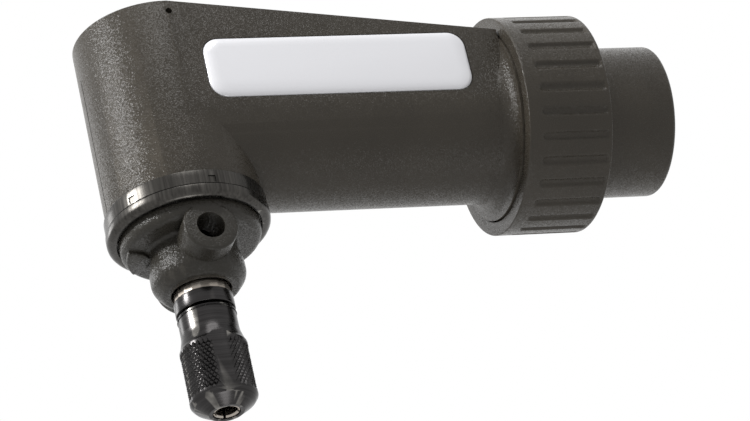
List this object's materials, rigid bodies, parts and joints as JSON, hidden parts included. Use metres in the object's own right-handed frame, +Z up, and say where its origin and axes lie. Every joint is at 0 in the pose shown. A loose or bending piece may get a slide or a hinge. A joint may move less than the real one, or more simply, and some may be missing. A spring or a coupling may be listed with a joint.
{
  "type": "right angle attachment",
  "caption": "Right angle attachment for a rotary tool: grooved clamp ring, tapered barrel, bevel gear head and a collet nut pointing down.",
  "frame": {"origin": "centre of the collar's rear face, where the tool's nose screws in", "axes": "+X along the drive axis out towards the tool, +Z up away from the collet; the spindle axis is at x = -0.0767 and points down"},
  "size_m": [0.0889, 0.0332, 0.0629],
  "materials": {
    "charcoal_plastic": "fine-grained moulded glass-filled plastic",
    "cap_plastic": "fine-grained moulded plastic, a little glossier",
    "badge_white": "glossy, blank",
    "band_steel": "dark, brushed along the axis",
    "bright_steel": "ground",
    "black_steel": "black oxide, oiled",
    "gear_steel": "machined",
    "bronze": "machined bronze",
    "spring_steel": "blued",
    "felt": "oiled felt"
  },
  "bodies": {
    "collar": {"tail_collar": "charcoal_plastic"},
    "clamp": {"coupling_ring": "charcoal_plastic"},
    "index": {"index_ring": "black_steel"},
    "head": {"main_housing": "charcoal_plastic", "name_badge": "badge_white", "bearing_band": "band_steel", "nose_cap": "cap_plastic", "cap_screw_1": "black_steel", "cap_screw_2": "black_steel", "top_bush": "bronze", "spindle_bearing_outer_race": "gear_steel", "front_bearing_outer_race": "gear_steel", "rear_bearing_outer_race": "gear_steel", "bearing_spacer": "gear_steel", "housing_circlip": "spring_steel", "spring_washer": "spring_steel", "felt_seal": "felt"},
    "input": {"drive_shaft": "bright_steel", "pinion_gear": "gear_steel", "front_bearing_inner_race": "gear_steel", "rear_bearing_inner_race": "gear_steel", "shaft_circlip": "spring_steel"},
    "spindle": {"output_spindle": "bright_steel", "bevel_gear": "gear_steel", "spindle_bearing_inner_race": "gear_steel", "spindle_circlip": "spring_steel", "shoulder_ring": "black_steel"},
    "front_balls": {"front_bearing_cage": "bronze"},
    "rear_balls": {"rear_bearing_cage": "bronze"},
    "spindle_balls": {"spindle_bearing_cage": "bronze"},
    "collet_body": {"collet": "bright_steel"},
    "nut": {"collet_nut": "black_steel"}
  },
  "joints": [
    {"name": "clamp_turn", "type": "hinge", "parent": "collar", "child": "clamp", "pos_m": [0, 0, 0], "axis": [1, 0, 0], "range_deg": [0, 1080]},
    {"name": "head_release", "type": "slide", "parent": "collar", "child": "index", "axis": [-1, 0, 0], "range_m": [0, 0.0024]},
    {"name": "head_index", "type": "hinge", "parent": "index", "child": "head", "pos_m": [0, 0, 0], "axis": [1, 0, 0], "continuous": true},
    {"name": "input_spin", "type": "hinge", "parent": "head", "child": "input", "pos_m": [-0.0767, 0, 0], "axis": [1, 0, 0], "continuous": true},
    {"name": "output_spin", "type": "hinge", "parent": "head", "child": "spindle", "pos_m": [-0.0767, 0, 0], "axis": [0, 0, 1], "continuous": true},
    {"name": "front_balls_spin", "type": "hinge", "parent": "head", "child": "front_balls", "pos_m": [-0.0767, 0, 0], "axis": [1, 0, 0], "continuous": true},
    {"name": "rear_balls_spin", "type": "hinge", "parent": "head", "child": "rear_balls", "pos_m": [-0.0767, 0, 0], "axis": [1, 0, 0], "continuous": true},
    {"name": "spindle_balls_spin", "type": "hinge", "parent": "head", "child": "spindle_balls", "pos_m": [-0.0767, 0, 0], "axis": [0, 0, 1], "continuous": true},
    {"name": "collet_slide", "type": "slide", "parent": "spindle", "child": "collet_body", "axis": [0, 0, -1], "range_m": [0, 0.00254]},
    {"name": "nut_turn", "type": "hinge", "parent": "collet_body", "child": "nut", "pos_m": [-0.0767, 0, 0], "axis": [0, 0, -1], "range_deg": [0, 1440]}
  ],
  "couplings": [
    {"joint": "head_release", "follows": "clamp_turn", "m_per_rad": 0.0001273},
    {"joint": "output_spin", "follows": "input_spin", "ratio": -1},
    {"joint": "front_balls_spin", "follows": "input_spin", "ratio": 0.385},
    {"joint": "rear_balls_spin", "follows": "input_spin", "ratio": 0.385},
    {"joint": "spindle_balls_spin", "follows": "input_spin", "ratio": -0.385},
    {"joint": "nut_turn", "follows": "collet_slide", "rad_per_m": 9894}
  ]
}
